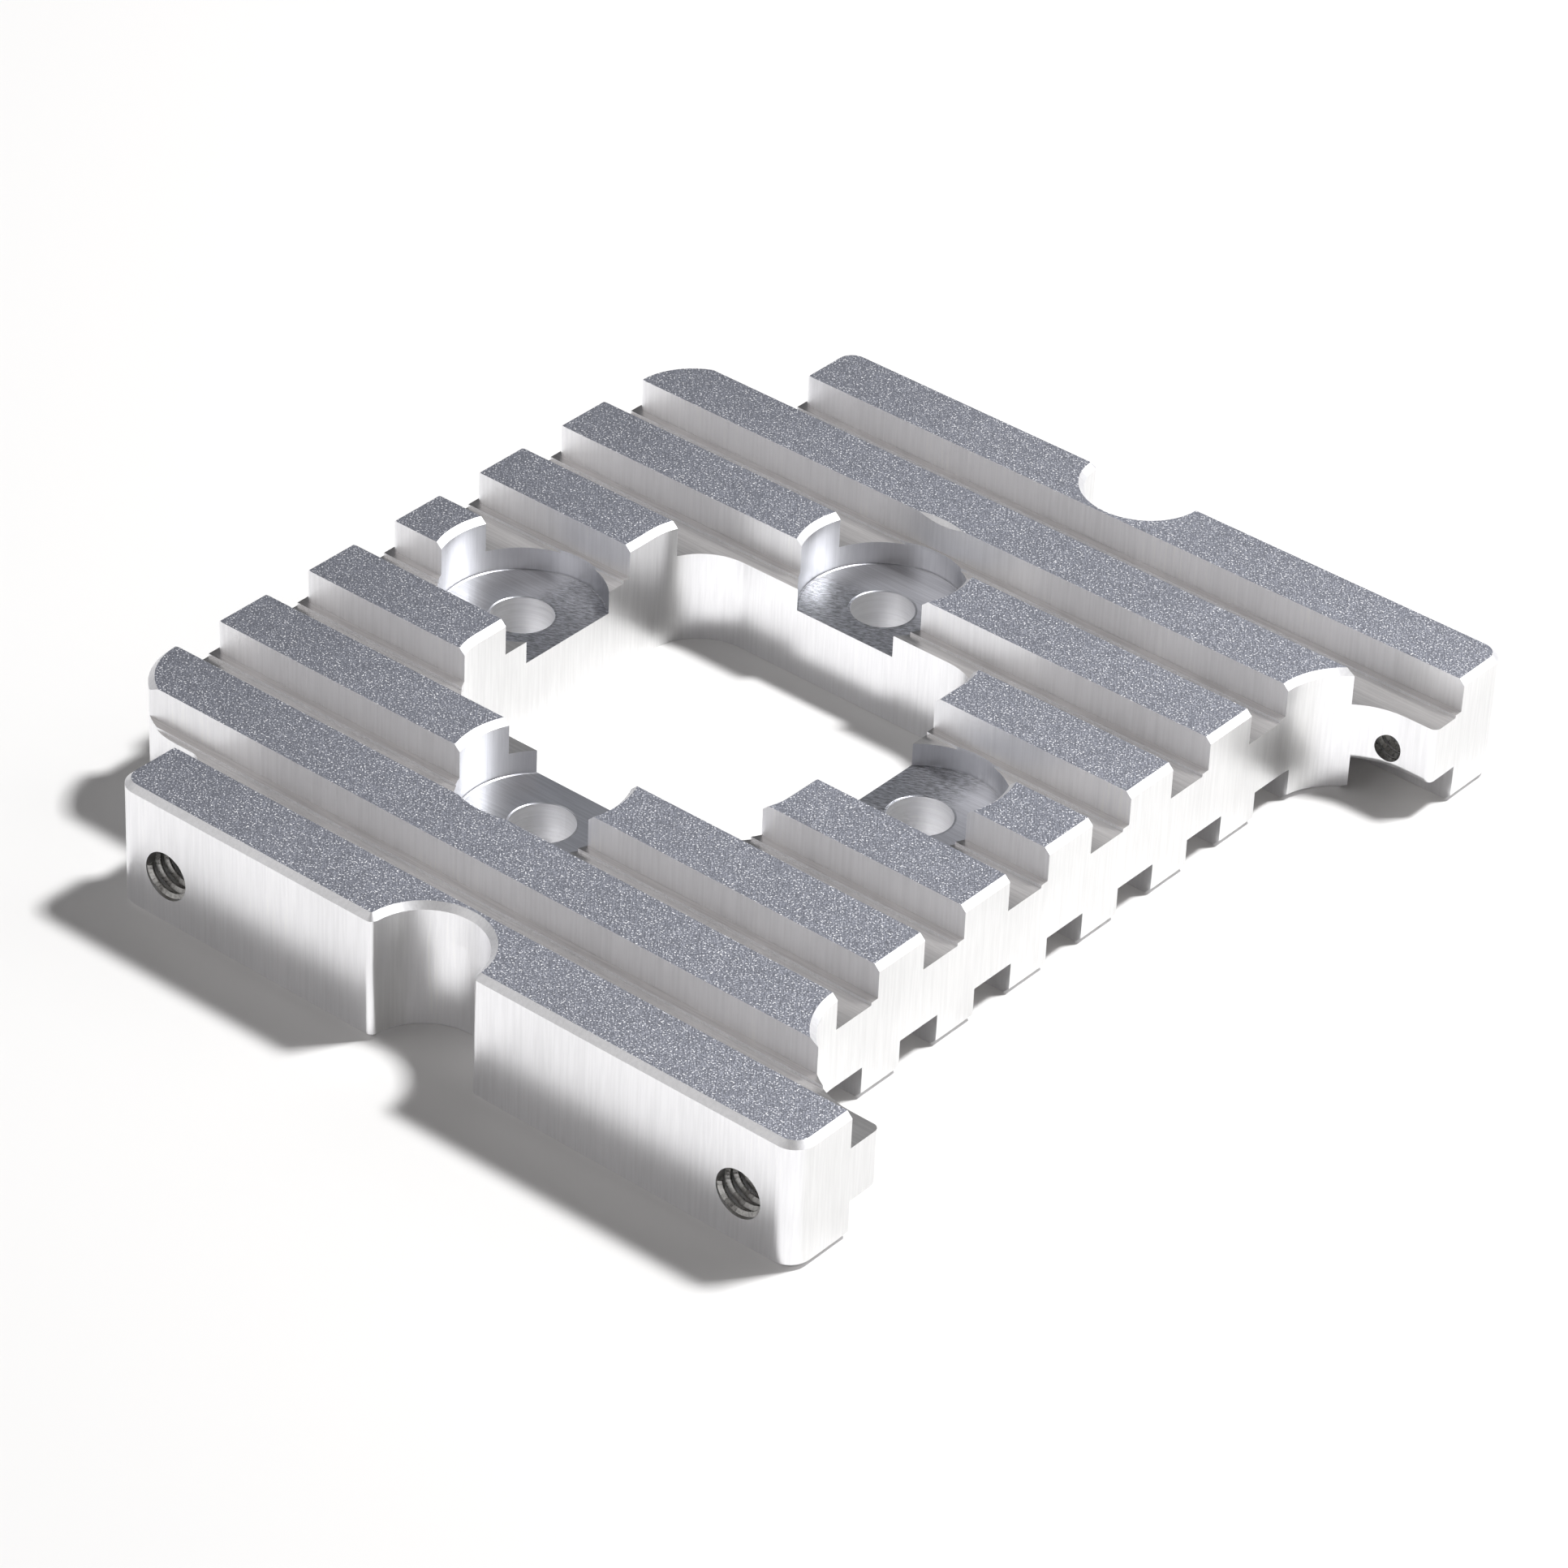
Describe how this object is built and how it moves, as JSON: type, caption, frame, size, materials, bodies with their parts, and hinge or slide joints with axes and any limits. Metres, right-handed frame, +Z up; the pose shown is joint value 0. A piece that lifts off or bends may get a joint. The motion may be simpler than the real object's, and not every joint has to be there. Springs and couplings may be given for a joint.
{
  "type": "ribbed plate",
  "caption": "Flat machined plate with ribs on top, slots underneath, a square window between pocketed screw holes, round side notches and an open recess at one end.",
  "frame": {"origin": "centre of the circle of screw holes, at the level of the feet", "axes": "+X along the ribs towards the open recess, +Y across the ribs, +Z up out of the ribbed face"},
  "size_m": [0.0612, 0.0694, 0.009],
  "materials": {
    "milled_aluminium": "bare, as milled, with fine cutter lines"
  },
  "bodies": {
    "root": {"ribbed_plate": "milled_aluminium"}
  },
  "joints": []
}
